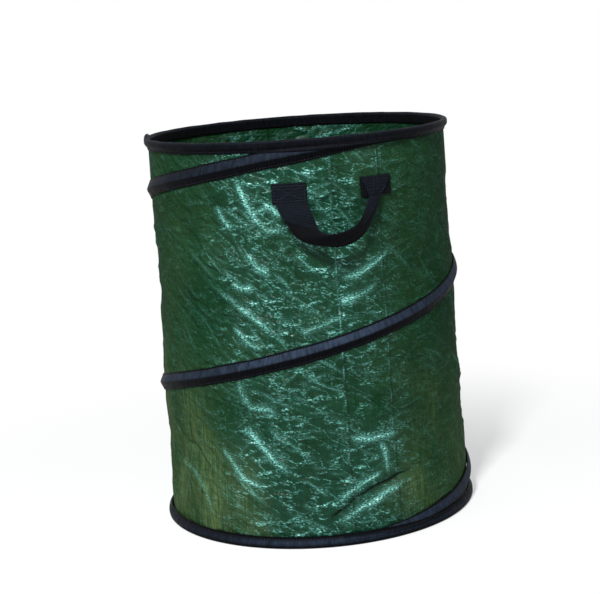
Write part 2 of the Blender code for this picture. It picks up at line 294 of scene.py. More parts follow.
class Finish:
    """The look of a material or of the world: its shader, and short calls that feed it."""

    def __init__(self, name, owners="materials", shader="Principled BSDF"):
        self.owner = getattr(bpy.data, owners).new(name)
        self.owner.use_nodes = True
        self.tree = self.owner.node_tree
        self.shader = self.tree.nodes[shader]

    def set(self, **values):
        for name, value in values.items():
            self.feed(self.shader.inputs[name.replace("_", " ")], value)

    def feed(self, socket, value):
        if isinstance(value, bpy.types.NodeSocket):
            self.tree.links.new(value, socket)
        else:
            socket.default_value = value

    def node(self, kind, inputs=(), **settings):
        made = self.tree.nodes.new(kind)
        for name, value in settings.items():
            setattr(made, name, value)
        for name, value in dict(inputs).items():
            self.feed(made.inputs[name], value)
        return made

    def calc(self, operation, *values):
        """A Math node's result."""
        return self.node("ShaderNodeMath", enumerate(values), operation=operation).outputs[0]

    def times(self, first, second):
        return self.calc("MULTIPLY", first, second)

    def less(self, first, second):
        return self.calc("SUBTRACT", first, second)

    def spread(self, value, low, high, to_low=0.0, to_high=1.0, **settings):
        """A value between low and high, spread evenly from to_low to to_high and held there."""
        return self.node("ShaderNodeMapRange", {
            "Value": value, "From Min": low, "From Max": high, "To Min": to_low, "To Max": to_high,
        }, **settings).outputs["Result"]

    def mix(self, share, first, second):
        """A blend of two colours."""
        made = self.node("ShaderNodeMix", data_type="RGBA")
        self.feed(made.inputs[0], share)
        for socket, colour in zip(made.inputs[6:8], (first, second)):
            self.feed(socket, (*colour, 1) if isinstance(colour, tuple) else colour)
        return made.outputs[2]

    def layers(self, colour, *layers):
        """A colour under others. Each comes in as its value goes from low to high."""
        for value, low, high, most, other in layers:
            colour = self.mix(self.spread(value, low, high, 0, most), colour, other)
        return colour

    def flat(self, turn=0.0, stretch=(1, 1)):
        """The piece's flat coordinates in metres, turned and then stretched."""
        place = self.node("ShaderNodeUVMap", uv_map="flat").outputs[0]
        for inputs in ({"Rotation": (0, 0, turn)}, {"Scale": (*stretch, 1)}):
            place = self.node("ShaderNodeMapping", {"Vector": place, **inputs}).outputs[0]
        return place

    def solid(self):
        """The piece's own coordinates in metres."""
        return self.node("ShaderNodeTexCoord").outputs["Object"]

    def noise(self, vector, scale, detail=3.0, rough=0.5):
        return self.node("ShaderNodeTexNoise", {
            "Vector": vector, "Scale": scale, "Detail": detail, "Roughness": rough,
        }).outputs["Fac"]

    def streaks(self, turn, stretch, detail, rough=0.5):
        """Noise over the flat piece, turned by degrees and stretched."""
        return self.noise(self.flat(math.radians(turn), stretch), 1.0, detail, rough)

    def stored(self, name):
        return self.node("ShaderNodeAttribute", attribute_name=name).outputs["Fac"]

    def bump(self, *reliefs):
        """A normal from reliefs of (height, depth), each laid over the one before."""
        under = {}
        for height, depth in reliefs:
            inputs = {"Height": height, "Distance": depth, **under}
            under = {"Normal": self.node("ShaderNodeBump", inputs).outputs[0]}
        return under["Normal"]

    def weave(self, pitch_across, pitch_along):
        """Height of a plain weave, the tilt of each crossing and its random value."""
        split = self.node("ShaderNodeSeparateXYZ", {"Vector": self.flat()}).outputs
        places = [self.calc("DIVIDE", *pair) for pair in zip(split, (pitch_across, pitch_along))]
        column, row = (self.calc("FLOOR", place) for place in places)
        odd = self.calc("MODULO", self.calc("ADD", column, row), 2.0)
        warp, weft = (self.calc("ABSOLUTE", self.calc("SINE", self.times(place, math.pi)))
                      for place in places)
        height = self.calc("ADD", self.times(warp, odd), self.times(weft, self.less(1.0, odd)))
        cell = self.node("ShaderNodeCombineXYZ", {"X": column, "Y": row}).outputs[0]
        dice = self.node("ShaderNodeTexWhiteNoise", {"Vector": cell}, noise_dimensions="2D").outputs
        tilts = self.node("ShaderNodeSeparateColor", {"Color": dice["Color"]}).outputs
        leans = [
            self.times(self.less(self.calc("FRACT", place), 0.5), self.less(tilt, 0.5))
            for place, tilt in zip(places, tilts)
        ]
        return height, self.calc("ADD", *leans), dice["Value"]

    def whiten(self, kind, output, share=1.0):
        """White by a share, for rays that see it straight, mirrored or through glass."""
        rays = self.node("ShaderNodeLightPath").outputs
        seen = rays["Is Camera Ray"]
        for name in ("Is Glossy Ray", "Is Transmission Ray"):
            seen = self.calc("MAXIMUM", seen, rays[name])
        white = self.node(kind, {"Color": (1, 1, 1, 1)}).outputs[0]
        blend = self.node("ShaderNodeMixShader", {
            0: self.times(share, seen), 1: self.shader.outputs[0], 2: white,
        })
        self.feed(self.tree.nodes[output].inputs["Surface"], blend.outputs[0])


def cloth_finish():
    """Laminated woven plastic, crinkled, glossier in front and behind: painted glints on its creases
    and ridges, painted sheen, painted ground light and painted shade.
    """
    made = Finish("cloth")
    height, lean, chance = made.weave(0.0026, 0.0026)
    broad = made.noise(made.solid(), 9.0, 4.0)
    patchy = made.noise(made.solid(), 45.0, 5.0, 0.65)
    slanting = made.streaks(34, (22, 66), 3.0, 0.42)
    level = made.streaks(-4, (36, 110), 3.0, 0.42)
    fine = made.streaks(8, (170, 420), 2.0)
    grain = made.spread(made.streaks(0, (330, 560), 2.0), 0.40, 0.62, 0.05, 1)
    upright = made.streaks(0, (420, 22), 3.0)
    ridge = made.calc("ABSOLUTE", made.less(slanting, 0.5))
    rubbed = made.stored("rubbed")
    # Painted glints: lighter on the noise's sharp ridges and crests, and on the wall's creases and
    # fold ridges, partly whitening of the film
    sharp = made.spread(ridge, 0, 0.03, 0.6, 0)
    crest = made.calc("MAXIMUM", made.spread(level, 0.55, 0.68), sharp)
    rub = made.times(rubbed, made.times(crest, made.spread(fine, 0.42, 0.6)))
    folded = made.times(made.stored("crease"), made.spread(rubbed, 0.05, 0.75, 0.15, 1))
    creased = made.times(made.calc("MAXIMUM", rub, folded), grain)
    # Painted light bounced from the ground: paler olive low on the sides
    dust = made.times(made.stored("dusty"), made.spread(upright, 0.36, 0.66, 0.15, 1))
    green = made.layers(
        (0.0050, 0.022, 0.0065),
        (broad, 0.38, 0.62, 1, (0.0070, 0.034, 0.011)),
        (patchy, 0.4, 0.7, 0.65, (0.0090, 0.034, 0.008)),
        # Painted sheen of the sky: teal in front and behind
        (rubbed, 0, 1, 0.7, (0.0035, 0.042, 0.024)),
        (chance, 0, 1, 0.3, (0.0040, 0.050, 0.027)),
        (upright, 0.38, 0.62, 0.5, (0.0030, 0.014, 0.005)),
        (dust, 0, 1, 1, (0.072, 0.112, 0.040)),
        # Painted highlights on the creases and ridges, whitest at their peaks
        (creased, 0, 1, 1, (0.30, 0.84, 0.73)),
        (creased, 0.5, 0.95, 0.55, (0.86, 0.96, 0.93)),
        # Painted shade in deep folds and beside the packet's creases
        (made.stored("shade"), 0, 1, 1, (0.0012, 0.0040, 0.0020)),
    )
    crumpled = made.bump((level, 0.0034), (ridge, 0.0080), (upright, 0.0005), (fine, 0.0004),
                         (lean, 0.0009), (height, 0.00008))
    made.set(
        Base_Color=green,
        Roughness=made.spread(patchy, 0.3, 0.7, 0.42, 0.60),
        Specular_IOR_Level=made.spread(rubbed, 0.12, 0.55, 0.002, 0.012),
        Specular_Tint=(0.50, 1.0, 0.86, 1),
        Normal=crumpled,
        Coat_Weight=made.spread(rubbed, 0.12, 0.55, 0.013, 0.055),
        Coat_Roughness=0.19,
        Coat_IOR=2.3,
        Coat_Normal=crumpled,
    )
    return made.owner


def tape_finish():
    """Black binding tape: a fine cross rib, lighter streaks where it is worn, and painted light on
    its upper facets and crowns.
    """
    made = Finish("tape")
    height, lean, chance = made.weave(0.0010, 0.0014)
    rubbed = made.streaks(0, (220, 60), 5.0, 0.6)
    # Painted light, blue-grey, on the upper facets and crowns that face the light, broken up by the
    # worn streaks
    dust = made.times(made.stored("faded"), made.spread(rubbed, 0.34, 0.62, 0.35, 1.15))
    black = made.layers(
        (0.0013, 0.0014, 0.0017),
        (rubbed, 0.42, 0.72, 1, (0.0038, 0.0040, 0.0052)),
        (dust, 0, 1, 1, (0.0270, 0.0400, 0.066)),
        (chance, 0, 1, 0.13, (0.010, 0.011, 0.015)),
    )
    made.set(
        Base_Color=black,
        Roughness=made.spread(rubbed, 0.3, 0.7, 0.44, 0.62),
        Specular_IOR_Level=0.026,
        Specular_Tint=(0.78, 0.84, 1.0, 1),
        Normal=made.bump((rubbed, 0.0006), (lean, 0.0003), (height, 0.00008)),
    )
    return made.owner


def webbing_finish():
    """Black webbing: thick ribs across, fine yarns along, painted shade under its turned band and in
    its grooves, painted highlights along its edge and fold.
    """
    made = Finish("webbing")
    height, lean, chance = made.weave(0.0011, 0.0018)
    worn = made.streaks(0, (90, 260), 5.0, 0.6)
    black = made.layers(
        (0.0013, 0.0021, 0.0037),
        (worn, 0.4, 0.75, 1, (0.0033, 0.0051, 0.0078)),
        # Lighter on the ribs' crests, darker in their grooves: painted shade
        (made.stored("rib"), 0, 1, 0.55, (0.0066, 0.0088, 0.0140)),
        (chance, 0.2, 1, 0.4, (0.0090, 0.0120, 0.0170)),
    )
    made.set(
        # Darkest where little painted light is stored: painted shade under the turned band
        Base_Color=made.mix(made.stored("faded"), (0.0020, 0.0017, 0.0022), black),
        Roughness=made.spread(worn, 0.3, 0.7, 0.62, 0.85),
        Specular_IOR_Level=0.04,
        Normal=made.bump((lean, 0.0004), (height, 0.00022)),
        Sheen_Weight=0.01,
    )
    return made.owner


def thread_finish():
    """Black sewing thread with a twist."""
    made = Finish("thread")
    twist = made.node("ShaderNodeTexWave", {
        "Vector": made.solid(), "Scale": 900.0, "Distortion": 2.0, "Detail": 1.0,
    }).outputs["Fac"]
    made.set(
        Base_Color=made.mix(twist, (0.014, 0.014, 0.019), (0.055, 0.056, 0.070)),
        Roughness=0.55,
        Specular_IOR_Level=0.08,
        Normal=made.bump((twist, 0.0001)),
    )
    return made.owner


def steel_finish(name, light, dark, roughness):
    """Drawn steel or a plain crimp: fine lines and a dull film."""
    made = Finish(name)
    film = made.noise(made.solid(), 180.0, 5.0, 0.6)
    lines = made.noise(made.solid(), 1500.0, 2.0)
    made.set(
        Base_Color=made.mix(made.spread(film, 0.35, 0.7), light, dark),
        Metallic=1.0,
        Roughness=made.spread(film, 0.3, 0.7, roughness - 0.08, roughness + 0.12),
        Normal=made.bump((lines, 0.00005)),
    )
    return made.owner


# Folds: points as (angle in degrees, height in mm), how far the fold stands out (or in, where
# negative) and how wide it is above and below, in mm. All but the last group are photographed ones
FOLDS = (
    # Beside the handle's left strap and from there down to the sleeve
    ([(-126, 530), (-122.5, 498), (-119.7, 472), (-115, 455), (-107, 455)], 4.2, 3, 9),
    ([(-116, 496), (-112, 483), (-109, 474)], 2.9, 3, 6),
    ([(-135, 493), (-131.7, 472), (-128.5, 456)], 2.6, 3, 7),
    ([(-124, 428), (-119.5, 405), (-114, 392)], 3.5, 3, 8),
    ([(-131, 383), (-126.8, 375), (-121, 378)], 1.6, 3, 5),
    ([(-137, 376), (-128.4, 353), (-121, 330), (-114, 305)], 2.4, 3, 8),
    ([(-131, 322), (-124.8, 299), (-119, 285)], 1.9, 3, 6),
    # Under the sleeve and low on the left
    ([(-130.5, 250), (-128.7, 225), (-126, 205), (-119, 203), (-115, 192)], 3.8, 3, 9),
    ([(-129, 176), (-124, 157), (-117.2, 123), (-112, 108)], 3.7, 3, 9),
    ([(-140, 147), (-135.8, 125), (-131, 101), (-122, 84)], 3.5, 3, 9),
    # Beside the pinch at the left edge
    ([(-168, 112), (-156, 98), (-150, 76), (-144, 26)], 6.4, 6, 14),
    ([(-174, 160), (-163, 142), (-154, 132), (-149, 112), (-143, 70)], -5.6, 5, 14),
    # The deep fold at the lower right and the ridges beside it
    ([(-101, 34), (-95, 50), (-88.5, 68), (-79.7, 81), (-71, 90), (-64, 91)], -6.4, 2.5, 10),
    ([(-97, 62), (-88, 84), (-78, 100)], 2.6, 4, 9),
    ([(-97, 30), (-88, 50), (-77, 68), (-68, 80)], 3.8, 3, 9),
    # Right of the middle, and over the sleeve
    ([(-79, 146), (-77.1, 129), (-76.6, 92)], 1.1, 2, 4),
    ([(-91, 153), (-82.5, 150), (-70, 151)], 1.1, 2, 4),
    ([(-90, 380), (-82, 388), (-75.9, 400), (-68, 417)], 1.9, 3, 7),
    ([(-92, 350), (-84, 356), (-75, 371)], 1.4, 3, 6),
    ([(-106, 308), (-99.3, 318), (-93.9, 325), (-88, 330)], 2.4, 3, 7),
    # Guessed ones, at the back and on both sides
    ([(40, 470), (52, 430), (68, 400), (84, 388)], 3.8, 3, 9),
    ([(66, 180), (78, 150), (92, 122), (104, 110)], 3.5, 3, 9),
    ([(112, 62), (122, 84), (133, 96), (142, 99)], -5.4, 3, 10),
    ([(-34, 240), (-24, 205), (-12, 178), (0, 168)], 3.2, 3, 9),
    ([(-20, 120), (-8, 96), (6, 84)], 2.9, 3, 8),
    ([(150, 470), (162, 436), (176, 412)], 3.2, 3, 9),
    ([(132, 250), (146, 214), (160, 196)], 3.2, 3, 9),
)

# Where the cloth is pulled in at the left edge: angle in degrees, height, depth and size in mm
PINCH = (-171, 108, 12, 34, 32)

# The lines where the folded bag was pressed flat in its packet, in degrees, each with painted glint
# dots and a line of painted shade beside it
PACKET_CREASES = (-91, -73, 89, 107)

# The wall as a mesh, how far its loose cloth is drawn in, and the most that folds stand out of it
WALL_COLUMNS = 720
WALL_ROWS = 340
DRAWN_IN = 0.0030
STANDS_OUT = 0.0030

# Creases at random, and the share of them that stand out
OUTWARD_CREASES = 0.62
CREASE_SETS = (
    # seed, how many, lengths in mm, slopes in degrees, height in mm, width in mm
    (11, 300, (25, 90), (-58, -24), (0.5, 2.0), (2.0, 6.5)),
    (12, 700, (8, 34), (-50, -8), (0.3, 0.95), (1.3, 3.4)),
    (13, 620, (8, 44), (-9, 14), (0.25, 0.8), (1.1, 3.0)),
    (14, 160, (14, 60), (62, 98), (0.2, 0.8), (1.3, 3.8)),
    (15, 140, (12, 50), (18, 48), (0.3, 1.1), (1.6, 4.2)),
)


def around_wall(angle):
    """Distance round the cloth from the seam at the back, in metres."""
    return ((angle - REAR) % math.tau) * MEAN_RADIUS


def all_round(count):
    """Angles spread evenly round the bag, from the seam at the back."""
    return REAR + math.tau * np.arange(count) / count


def parts(arc, count):
    """The middles of equal parts of an arc."""
    return arc * (np.arange(count) + 0.5) / count


def add_creases(off, worn, z, seed, count, lengths, slopes, rises, widths):
    """Adds creases at random, straight and bowed, to a grid of offs with rows at heights z."""
    rng = np.random.default_rng(seed)
    step_u = GIRTH / WALL_COLUMNS
    step_z = z[1] - z[0]
    for _ in range(count):
        u0 = rng.uniform(0, GIRTH)
        z0 = rng.uniform(0.02, HEIGHT - 0.02)
        length = mm(rng.uniform(*lengths))
        slope = math.radians(rng.uniform(*slopes))
        rise = mm(rng.uniform(*rises)) * (1 if rng.uniform() < OUTWARD_CREASES else -1)
        width = mm(rng.uniform(*widths))
        bow = rng.uniform(-3, 3)
        reach = length / 2 + 4 * width
        columns = np.arange(int((u0 - reach) / step_u), int((u0 + reach) / step_u) + 2)
        rows = np.arange(max(int((z0 - reach - z[0]) / step_z), 0),
                         min(int((z0 + reach - z[0]) / step_z) + 2, len(z)))
        du = (columns * step_u - u0)[:, None]
        dz = z[rows] - z0
        along = du * math.cos(slope) + dz * math.sin(slope)
        across = -du * math.sin(slope) + dz * math.cos(slope) + bow * along * along
        fade = smooth(1.15 - np.abs(2 * along / length))
        place = np.ix_(columns % WALL_COLUMNS, rows)
        off[place] += rise * np.exp(-np.abs(across) / width) * fade
        # Along its line it gets painted glints, partly whitening of the film
        line = abs(rise) * 350 * np.exp(-np.abs(across) / 0.0011) * fade
        worn[place] = np.maximum(worn[place], line)


def fold_distance(angle, z, points):
    """Signed distance from a fold's line, over the cloth, and the share of the way along it."""
    places = np.array([(math.radians(a) * MEAN_RADIUS, mm(h)) for a, h in points])
    middle = places[:, 0].mean()
    u = away_from(middle / MEAN_RADIUS, angle) * MEAN_RADIUS + middle
    passed = walked(places)
    best = np.full(u.shape, 9.0)
    share = np.zeros(u.shape)
    for n, length in enumerate(np.diff(passed)):
        (u0, z0), (run, rise) = places[n], (places[n + 1] - places[n]) / length
        held = np.clip((u - u0) * run + (z - z0) * rise, 0, length)
        du = u - u0 - held * run
        dz = z - z0 - held * rise
        distance = np.hypot(du, dz) * np.where(dz * run < du * rise, -1, 1)
        nearer = np.abs(distance) < np.abs(best)
        best = np.where(nearer, distance, best)
        share = np.where(nearer, (passed[n] + held) / passed[-1], share)
    return best, share


def held_distance(angle, z):
    """Distance up or down to the nearest line that holds the cloth: a hoop tape or the sleeve."""
    nearest = np.minimum(z - BASE_TAPE_HEIGHT + 0.012, HEIGHT - RIM_TAPE_DEPTH + 0.012 - z)
    for wound, present in coil_passes(angle):
        nearest = np.where(present, np.minimum(nearest, np.abs(z - coil_height(wound))), nearest)
    return nearest


def beside_patch(angle):
    """How far sideways the nearest sewn end of a handle is, below 0 within its width."""
    along = np.minimum(np.abs(away_from(FRONT, angle)), np.abs(away_from(REAR, angle)))
    return np.abs(along * cloth_radius(HINGE_Z) - HANDLE_SPAN / 2) - WEBBING_WIDTH / 2


def patch_distance(angle, z):
    """Distance from the nearest sewn end of a handle, 0 under it."""
    above = np.abs(z - HINGE_Z - SEWN_LENGTH / 2) - SEWN_LENGTH / 2
    return np.hypot(np.maximum(beside_patch(angle), 0), np.maximum(above, 0))


def wall_off(angle, z):
    """How far the crumpled wall lies off the straight one, where its creases and fold ridges get
    painted glints and whitening, and its painted shade.
    """
    u = around_wall(angle)
    held = held_distance(angle, z)
    free = smooth((held - 0.009) / 0.022)
    loose = smooth((held - 0.010) / 0.075)
    off = np.zeros(angle.shape)
    worn = np.zeros(angle.shape)
    shade = np.zeros(angle.shape)
    for crease_set in CREASE_SETS:
        add_creases(off, worn, z[0], *crease_set)
    busy = 0.55 + 0.45 * ripple(21, u, z, 0.09, 0.10)
    off *= 0.55 + 0.9 * busy
    wobble = 0.0022 * ripple(22, u, z, 0.018, 0.014)
    uneven = 1 + 0.35 * ripple(23, u, z, 0.02, 0.02)
    for points, stand, upper, lower in FOLDS:
        distance, share = fold_distance(angle, z + wobble, points)
        width = np.where(distance > 0, mm(upper), mm(lower))
        fade = smooth(share / 0.18) * smooth((1 - share) / 0.25) * uneven
        off += mm(stand) * np.exp(-np.abs(distance) / width) * fade
        # Painted glints along the ridges of folds that stand out
        worn = np.maximum(worn, 0.95 * np.exp(-np.abs(distance) / 0.0026) * fade * (stand > 0))
        # Painted shade along narrow folds that go in
        tucked = (stand < 0) * (upper < 4)
        dark = 0.9 * np.exp(-((distance - 0.0006) / 0.0030) ** 2) * fade * tucked
        shade = np.maximum(shade, dark)
    diagonal = ripple(24, u + 0.9 * z, z - 0.5 * u, 0.030, 0.075)
    off += 0.0016 * diagonal * loose
    off += 0.0006 * ripple(25, u, z, 0.013, 0.016)
    pleat = ripple(26, u, z, 0.0075, 0.09)
    off += 0.0006 * pleat * smooth((0.045 - held) / 0.03)
    at, height, depth, wide, tall = PINCH
    du = away_from(math.radians(at), angle) * MEAN_RADIUS
    dent = np.exp(-(du / mm(wide)) ** 2 - (np.abs(z - mm(height)) / mm(tall)) ** 1.7)
    off -= mm(depth) * dent
    off -= DRAWN_IN * loose
    for degrees in PACKET_CREASES:
        du = away_from(math.radians(degrees), angle) * MEAN_RADIUS
        du += 0.0012 * ripple(27, u, z, 0.4, 0.12)
        off -= 0.0005 * np.exp(-np.abs(du) / 0.0016)
        # Painted glint dots along the line, and painted shade in a line beside it
        broken = np.clip(0.3 + ripple(28, u, z, 0.4, 0.012), 0, 1)
        worn = np.maximum(worn, 0.55 * broken * np.exp(-np.abs(du) / 0.0010))
        shade = np.maximum(shade, 0.6 * np.exp(-np.abs(du - 0.0022) / 0.0011))
    patch = patch_distance(angle, z)
    free = free * smooth(patch / 0.016)
    off *= free
    soft = 0.0005
    most = STANDS_OUT * smooth((held - 0.012) / 0.035) * smooth((patch - 0.004) / 0.03)
    held_in = most - soft * np.log1p(np.exp(np.clip((most + 0.0004 - off) / soft, -60, 60)))
    held_in *= 0.1 + 0.9 * smooth((RIM_TAUT - z) / 0.028)
    off = held_in * np.minimum(1, 4 * free) - 0.0001
    return np.minimum(off, tucked_in(angle, z)), worn, np.clip(shade, 0, 1)


def tucked_in(angle, z):
    """The most that the cloth may stand out, to lie behind a handle's sewn ends when folded."""
    meets = COLLAPSE_KEEP * z + HANDLE_DROP
    outside = np.maximum(HINGE_Z - SEWN_LENGTH / 4 - meets, meets - HINGE_Z - SEWN_LENGTH)
    away = np.hypot(np.maximum(beside_patch(angle), 0), np.maximum(outside / COLLAPSE_KEEP, 0))
    return cloth_radius(meets) - cloth_radius(z) - 0.0002 + 0.006 * smooth((away - 0.002) / 0.03)


def worn_side(angle):
    """How far a place is within the bag's sides that get painted light, in front and behind: 1 in
    their middles.
    """
    away = [np.abs(away_from(facing - math.radians(14), angle)) for facing in (FRONT, REAR)]
    return smooth(1.45 - np.minimum(*away) / math.radians(30))


def rubbed_share(angle, z):
    """Where the cloth gets painted sheen and glints and more gloss: most in front and behind, and
    low down there.
    """
    u = around_wall(angle)
    lumps = lumpy(71, u, z, 0.05, 0.07) + 0.3 * ripple(72, u, z, 0.018, 0.022)
    low = 0.32 * smooth((0.25 - z) / 0.12)
    return np.clip(0.12 + (1.1 * lumps + low) * worn_side(angle), 0, 1)


def dusty_share(angle, z):
    """How much painted light from the ground the cloth gets: most low on its left, least in the
    sides with painted sheen.
    """
    u = around_wall(angle)
    lumps = 0.62 + 0.38 * ripple(73, u, z, 0.04, 0.09)
    astray = 0.26 * ripple(74, u, z, 0.07, 0.06) - 0.7 * (0.25 - z)
    side = (1 - worn_side(angle + astray)) ** 2 * (1 + 0.5 * np.cos(angle - math.radians(190)))
    return lumps * side * (0.16 + 0.86 * smooth((0.33 - z) / 0.26))


def wall_panel(finish):
    """The side cloth: a crumpled tube held by the two hoops and the wound sleeve."""
    bottom = mm(1.2)
    top = RIM_WIRE_Z
    angle, z = grid(all_round(WALL_COLUMNS), np.linspace(bottom, top, WALL_ROWS))
    off, worn, shade = wall_off(angle, z)
    flat = np.stack([(angle - REAR) * MEAN_RADIUS, z], -1)
    made = grid_object("wall_cloth", on_wall(angle, z, off), flat, closed=True)
    store(made, crease=np.clip(worn, 0, 1), shade=shade,
          rubbed=rubbed_share(angle, z), dusty=dusty_share(angle, z))
    thicken(made, finish, CLOTH / 2, -1)
    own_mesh(made)
    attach(made, "base")
    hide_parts("wall_panel")


BASE_GRID = 200
BASE_LIE = 0.0012
BASE_HEM = 0.0042


def base_panel(finish):
    """The bottom cloth: a disc that rests on the ground, its edge turned up inside the wall."""
    edge = BASE_DIAMETER / 2 - CLOTH - CLEARANCE - CLOTH / 2
    side = np.linspace(-1, 1, BASE_GRID + 1)
    across, along = grid(side, side)
    share = np.maximum(np.abs(across), np.abs(along))
    ring = np.hypot(across, along)
    scale = share / np.where(ring > 0, ring, 1)
    x, y = across * scale, along * scale
    hem = smooth((share - 0.975) / 0.025)
    reach = edge * np.minimum(share / 0.98, 1) / np.where(share > 0, share, 1)
    u, v = x * edge + 0.7, y * edge + 0.4
    lumps = lumpy(31, u, v, 0.06, 0.05)
    fine = lumpy(32, u + 0.5 * v, v, 0.014, 0.030)
    loose = smooth((0.93 - share) / 0.1)
    z = BASE_LIE + loose * (0.0022 * lumps**2 + 0.0010 * fine) + (BASE_HEM - BASE_LIE) * hem
    points = np.stack([x * reach, y * reach, z], -1)
    made = grid_object("base_cloth", points, np.stack([x * edge + 1, y * edge + 1], -1))
    # Painted glints on the lines of fine lumps, painted sheen and painted ground light by the lumps
    store(made, crease=0.5 * (np.abs(fine - 0.5) < 0.03), rubbed=lumps, dusty=0.2 * lumps)
    thicken(made, finish, CLOTH / 2, 0)
    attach(made, "base")
    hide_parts("base_panel")


# The tapes as sewn: the least that a tape's middle lies off the cloth, what its thickness is short
# of the solid's, the gap between a hoop's tape and the sleeve under it, the pitch and length of the
# stitches, how far they are from a hoop tape's edge, and the thread's half thickness
TAPE_COLUMNS = 1080
LEG_ROWS = 12
TAPE_OFF = 0.0009
TAPE_SLACK = 0.0001
OVER_SLEEVE = 0.0006
HOOP_PITCH = 0.0042
HOOP_STITCH = 0.0029
SLEEVE_PITCH = 0.0044
SLEEVE_STITCH = 0.0030
STITCHED_IN = 0.0035
THREAD = 0.00042

# The lump where the rim tape's ends lap: its angle, half its length and its height
LAP_ANGLE = math.radians(169)
LAP_REACH = math.radians(5.5)
LAP_HEIGHT = 0.0042


def stitch_mesh(name, starts, ends, outs, finish):
    """Sewing thread: one short grain between each start and end, standing on a surface."""
    starts, ends, outs = (np.asarray(a, float) for a in (starts, ends, outs))
    middle = (starts + ends) / 2
    run = unit(ends - starts)
    beside = THREAD * unit(np.cross(run, outs))
    out = np.cross(beside, run)
    corners = np.stack(
        [starts, middle + out, middle + beside, middle - out * 0.6, middle - beside, ends], 1)
    sides = np.array([(0, 2, 1), (0, 3, 2), (0, 4, 3), (0, 1, 4),
                      (5, 1, 2), (5, 2, 3), (5, 3, 4), (5, 4, 1)])
    faces = (np.arange(len(starts))[:, None, None] * 6 + sides).reshape(-1, 3)
    made = mesh_object(name, corners, faces)
    made.data.materials.append(finish)
    return made


def tape_leg(angle, z, free_edge, wire_z, seed):
    """How far a hoop tape's outer leg lies off the cloth: over the wire, drawn in at its edge."""
    share = (z - free_edge) / (wire_z - free_edge)
    u = around_wall(angle)
    pucker = ripple(seed, u, z, 0.0065, 0.05) + 0.7 * ripple(seed + 1, u, z, 0.017, 0.05)
    drawn_in = TAPE_OFF + (2 * WIRE_OFFSET + TAPE / 2 - TAPE_OFF) * smooth((share - 0.10) / 0.62)
    drawn_in += 0.00035 * pucker * smooth(1.15 - share)
    over = under_tape(angle, z)
    over = np.where(over > 0, over + OVER_SLEEVE + TAPE / 2, 0)
    return np.maximum(drawn_in, over) + 0.00015 * pucker


def bunched(angle):
    """How high the rim tape stands where its ends lap."""
    return LAP_HEIGHT * np.exp(-(away_from(LAP_ANGLE, angle) / LAP_REACH) ** 4)


def hoop_tape(hoop, points, faded, sewn_at, outer_leg, finish, thread):
    """A hoop's tape from a grid of points, round the bag and across, with its row of stitches."""
    flat = np.stack(grid((all_round(TAPE_COLUMNS) - REAR) * MEAN_RADIUS, walked(points[0])), -1)
    made = grid_object(hoop + "_binding", points, flat, closed=True)
    store(made, faded=faded)
    thicken(made, finish, TAPE - TAPE_SLACK, 0)
    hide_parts(hoop + "_tape")
    middles = all_round(int(GIRTH / HOOP_PITCH))
    half = HOOP_STITCH / MEAN_RADIUS / 2
    ends = []
    for angle in (middles - half, middles + half):
        off = tape_leg(angle, sewn_at + 0 * angle, *outer_leg) + TAPE / 2
        ends.append(on_wall(angle, sewn_at, off - 0.00005))
    stitches = stitch_mesh(hoop + "_stitching", *ends, polar(1, middles, 0), thread)
    for piece in (made, stitches):
        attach(piece, hoop)


def rim_tape(finish, thread):
    """The rim binding, folded over the mouth's edge and the rim hoop, sewn near its edge."""
    edge = HEIGHT - RIM_TAPE_DEPTH
    outer_leg = (edge, RIM_WIRE_Z, 44)
    angles = all_round(TAPE_COLUMNS)
    angle, z = grid(angles, np.linspace(edge, RIM_WIRE_Z, LEG_ROWS))
    u = around_wall(angle)
    ragged = 0.00045 * ripple(41, u, z * 0, 0.030, 1.0) * smooth(1 - (z - edge) / 0.006)
    inside = CLOTH + CLEARANCE + TAPE / 2 + 0.0012 + 0.0002 * ripple(42, u, z, 0.012, 0.03)
    inner = polar(cloth_radius(z) - inside, angle, z + ragged)
    outer = polar(cloth_radius(z) + tape_leg(angle, z, *outer_leg), angle, z - ragged)
    angle, turn = grid(angles, parts(math.pi, 9))
    lumps = 0.00025 * ripple(43, around_wall(angle), 0 * turn, 0.02, 1.0) + bunched(angle)
    middle = cloth_radius(RIM_WIRE_Z) + WIRE_OFFSET - (CLOTH + CLEARANCE) / 2
    half = RIM_FOLD + TAPE / 2
    height = RIM_WIRE_Z + (half + lumps - 0.0005) * np.sin(turn)
    fold = polar(middle + half * np.cos(turn), angle, height)
    points = np.concatenate([outer, fold, inner[:, ::-1]], 1)
    # Painted light: a little on the fold over the top, less on the outer leg, none inside
    faded = np.concatenate([0 * z + 0.03, 0 * turn + 0.12, 0 * z], 1)
    hoop_tape("rim", points, faded, edge + STITCHED_IN, outer_leg, finish, thread)


